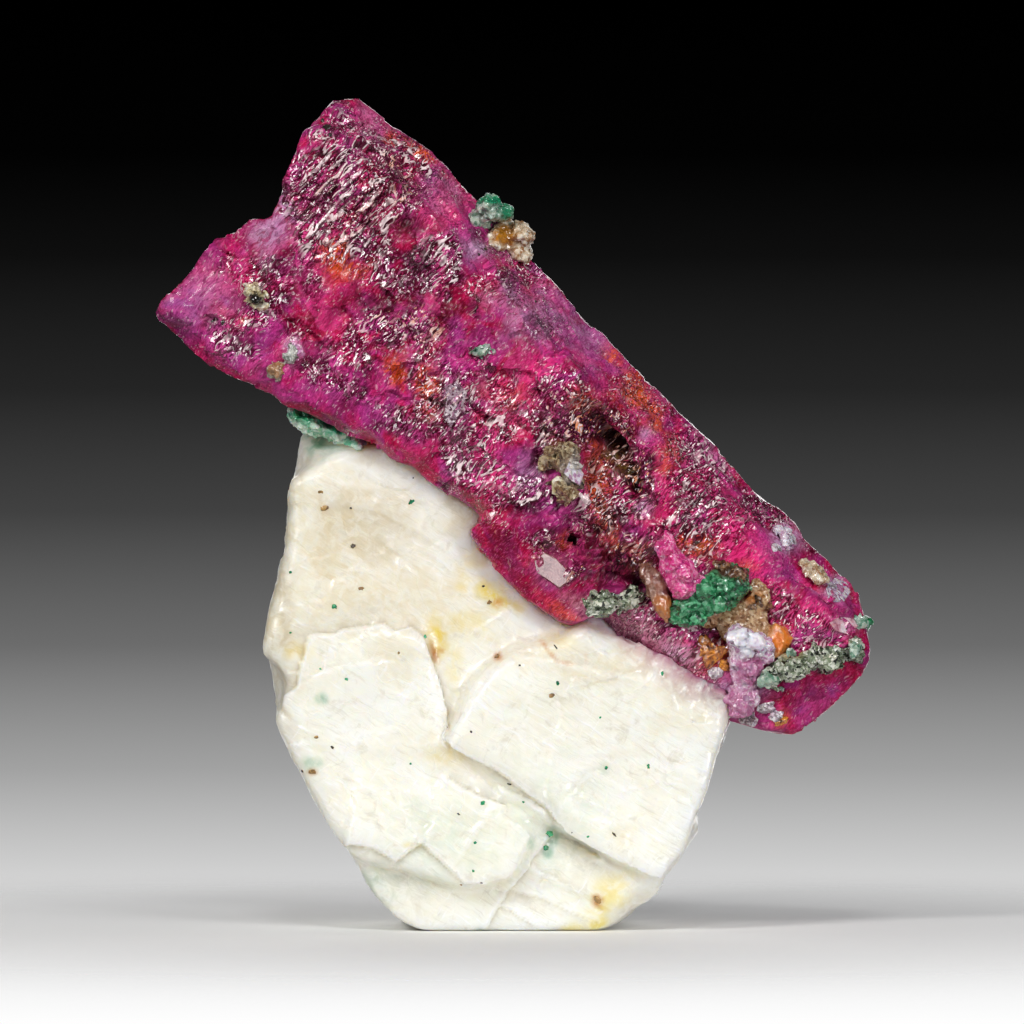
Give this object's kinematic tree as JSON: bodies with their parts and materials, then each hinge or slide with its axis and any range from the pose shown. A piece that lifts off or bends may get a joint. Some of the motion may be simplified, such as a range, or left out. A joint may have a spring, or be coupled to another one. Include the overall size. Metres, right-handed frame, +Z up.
{
  "type": "corundum specimen",
  "caption": "Tapering hexagonal crystal of deep pink-red corundum lying slantwise across a white broken calcite matrix, with small green, amber and lilac accessory grains.",
  "frame": {"origin": "on the surface the specimen stands on, under the middle of its bounding box", "axes": "+Z up, -Y out of the displayed face, +X to the viewer's right; the crystal slants down towards +X"},
  "size_m": [0.036, 0.0167, 0.0417],
  "materials": {
    "ruby": "glossy etched crystal faces, deep purplish red, part see-through",
    "calcite": "waxy broken cleavage, white to cream, faintly see-through",
    "rose": "glossy bright pink crystal",
    "green": "pearly green mica",
    "amber": "iron stained, part see-through grain",
    "lilac": "frosted lilac white grain",
    "olive": "grey green mica with dark specks",
    "white": "frosted white crust",
    "buff": "dull buff grain",
    "tan": "pearly tan mica flakes",
    "brown": "glossy brown shard"
  },
  "bodies": {
    "root": {"ruby_crystal": "ruby", "calcite_matrix": "calcite", "rose_crystal": "rose", "green_mica": "green", "amber_calcite": "amber", "lilac_calcite": "lilac", "olive_mica": "olive", "green_knob": "green", "pale_knob": "buff", "tan_mica": "tan", "grey_mica": "olive", "brown_shard": "brown", "buff_grain": "buff", "white_crust": "white", "green_bead": "green", "left_mica": "tan", "grey_crust": "olive", "green_flake": "green", "green_seam": "green"}
  },
  "joints": []
}
